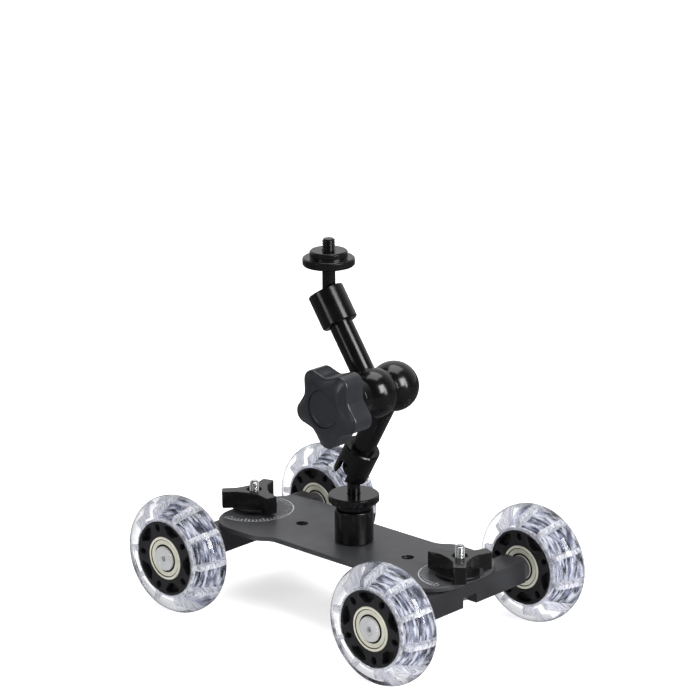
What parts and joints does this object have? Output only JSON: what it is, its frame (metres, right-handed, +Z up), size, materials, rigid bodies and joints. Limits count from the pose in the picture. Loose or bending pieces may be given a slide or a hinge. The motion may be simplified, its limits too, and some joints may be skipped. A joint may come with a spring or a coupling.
{
  "type": "camera slider",
  "caption": "Wheeled tabletop camera dolly: a deck plate on steerable axles with clear skate wheels, and a jointed friction arm with a camera screw.",
  "frame": {"origin": "on the ground, midway between the four wheels, under the riser post", "axes": "+X along the deck towards the front axle, +Y to the far side from the star knob, +Z up"},
  "size_m": [0.1986, 0.129, 0.1961],
  "materials": {
    "anodised_black": "fine bead-blasted black anodise",
    "gloss_black_metal": "polished black anodise",
    "black_nylon": "moulded, fine satin",
    "knob_plastic": "moulded, fine matt texture",
    "clear_polyurethane": "clear, glossy",
    "clear_core": "clear, satin",
    "bearing_steel": "ground and pressed steel",
    "zinc_plate": "bright zinc",
    "brass": "turned"
  },
  "bodies": {
    "deck": {"deck_plate": "anodised_black", "riser_post": "gloss_black_metal", "post_screw": "zinc_plate"},
    "front_axle": {"front_axle_beam": "anodised_black", "front_pivot_bolt": "zinc_plate", "front_near_bearing_spacer": "bearing_steel", "front_near_axle_screw": "zinc_plate", "front_near_axle_boss": "anodised_black", "front_far_bearing_spacer": "bearing_steel", "front_far_axle_screw": "zinc_plate", "front_far_axle_boss": "anodised_black"},
    "front_lock": {"front_lock_knob": "black_nylon", "front_lock_knob_nut": "bearing_steel"},
    "rear_axle": {"rear_axle_beam": "anodised_black", "rear_pivot_bolt": "zinc_plate", "rear_near_bearing_spacer": "bearing_steel", "rear_near_axle_screw": "zinc_plate", "rear_near_axle_boss": "anodised_black", "rear_far_bearing_spacer": "bearing_steel", "rear_far_axle_screw": "zinc_plate", "rear_far_axle_boss": "anodised_black"},
    "rear_lock": {"rear_lock_knob": "black_nylon", "rear_lock_knob_nut": "bearing_steel"},
    "front_near_wheel": {"front_near_tyre": "clear_polyurethane", "front_near_tyre_core": "clear_core", "front_near_hub": "black_nylon", "front_near_outer_bearing": "bearing_steel", "front_near_inner_bearing": "bearing_steel"},
    "front_far_wheel": {"front_far_tyre": "clear_polyurethane", "front_far_tyre_core": "clear_core", "front_far_hub": "black_nylon", "front_far_outer_bearing": "bearing_steel", "front_far_inner_bearing": "bearing_steel"},
    "rear_near_wheel": {"rear_near_tyre": "clear_polyurethane", "rear_near_tyre_core": "clear_core", "rear_near_hub": "black_nylon", "rear_near_outer_bearing": "bearing_steel", "rear_near_inner_bearing": "bearing_steel"},
    "rear_far_wheel": {"rear_far_tyre": "clear_polyurethane", "rear_far_tyre_core": "clear_core", "rear_far_hub": "black_nylon", "rear_far_outer_bearing": "bearing_steel", "rear_far_inner_bearing": "bearing_steel"},
    "lower_stud": {"lower_ball_stud": "gloss_black_metal"},
    "lower_disc": {"lower_lock_disc": "gloss_black_metal"},
    "lower_arm": {"lower_arm_tube": "gloss_black_metal", "lower_socket": "gloss_black_metal", "lower_push_rod": "bearing_steel", "centre_bolt": "zinc_plate"},
    "upper_arm": {"upper_arm_tube": "gloss_black_metal", "upper_socket": "gloss_black_metal", "upper_push_rod": "bearing_steel", "clamp_collar": "gloss_black_metal"},
    "star": {"star_knob": "knob_plastic", "star_knob_cap": "knob_plastic", "star_knob_nut": "brass"},
    "upper_stud": {"upper_ball_stud": "gloss_black_metal"},
    "upper_disc": {"upper_lock_disc": "gloss_black_metal"}
  },
  "joints": [
    {"name": "front_axle_steer", "type": "hinge", "parent": "deck", "child": "front_axle", "pos_m": [0.0693, 0, 0.031], "axis": [0, 0, 1], "range_deg": [-25, 25]},
    {"name": "front_lock_turn", "type": "hinge", "parent": "front_axle", "child": "front_lock", "pos_m": [0.0693, 0, 0.045], "axis": [0, 0, 1], "continuous": true},
    {"name": "front_near_wheel_spin", "type": "hinge", "parent": "front_axle", "child": "front_near_wheel", "pos_m": [0.0693, -0.0543, 0.03], "axis": [0, 1, 0], "continuous": true},
    {"name": "front_far_wheel_spin", "type": "hinge", "parent": "front_axle", "child": "front_far_wheel", "pos_m": [0.0693, 0.0543, 0.03], "axis": [0, 1, 0], "continuous": true},
    {"name": "rear_axle_steer", "type": "hinge", "parent": "deck", "child": "rear_axle", "pos_m": [-0.0693, 0, 0.031], "axis": [0, 0, 1], "range_deg": [-25, 25]},
    {"name": "rear_lock_turn", "type": "hinge", "parent": "rear_axle", "child": "rear_lock", "pos_m": [-0.0693, 0, 0.045], "axis": [0, 0, 1], "continuous": true},
    {"name": "rear_near_wheel_spin", "type": "hinge", "parent": "rear_axle", "child": "rear_near_wheel", "pos_m": [-0.0693, -0.0543, 0.03], "axis": [0, 1, 0], "continuous": true},
    {"name": "rear_far_wheel_spin", "type": "hinge", "parent": "rear_axle", "child": "rear_far_wheel", "pos_m": [-0.0693, 0.0543, 0.03], "axis": [0, 1, 0], "continuous": true},
    {"name": "arm_pan", "type": "hinge", "parent": "deck", "child": "lower_stud", "pos_m": [0, 0, 0.05], "axis": [0, 0, 1], "continuous": true},
    {"name": "lower_disc_turn", "type": "hinge", "parent": "lower_stud", "child": "lower_disc", "pos_m": [0, 0, 0.062], "axis": [0, 0, 1], "continuous": true},
    {"name": "lower_ball_tilt", "type": "hinge", "parent": "lower_stud", "child": "lower_arm", "pos_m": [0, 0, 0.0779], "axis": [0, 1, 0], "range_deg": [-65, 6]},
    {"name": "elbow", "type": "hinge", "parent": "lower_arm", "child": "upper_arm", "pos_m": [0.02685, -0.00735, 0.12498], "axis": [0, 1, 0], "range_deg": [-60, 150]},
    {"name": "star_knob_turn", "type": "hinge", "parent": "lower_arm", "child": "star", "pos_m": [0.02685, -0.042, 0.12498], "axis": [0, 1, 0], "continuous": true},
    {"name": "upper_ball_tilt", "type": "hinge", "parent": "upper_arm", "child": "upper_stud", "pos_m": [-0.00154, -0.0147, 0.16614], "axis": [0, 1, 0], "range_deg": [-70, 1]},
    {"name": "upper_disc_turn", "type": "hinge", "parent": "upper_stud", "child": "upper_disc", "pos_m": [-0.00154, -0.0147, 0.18614], "axis": [0, 0, 1], "continuous": true}
  ]
}
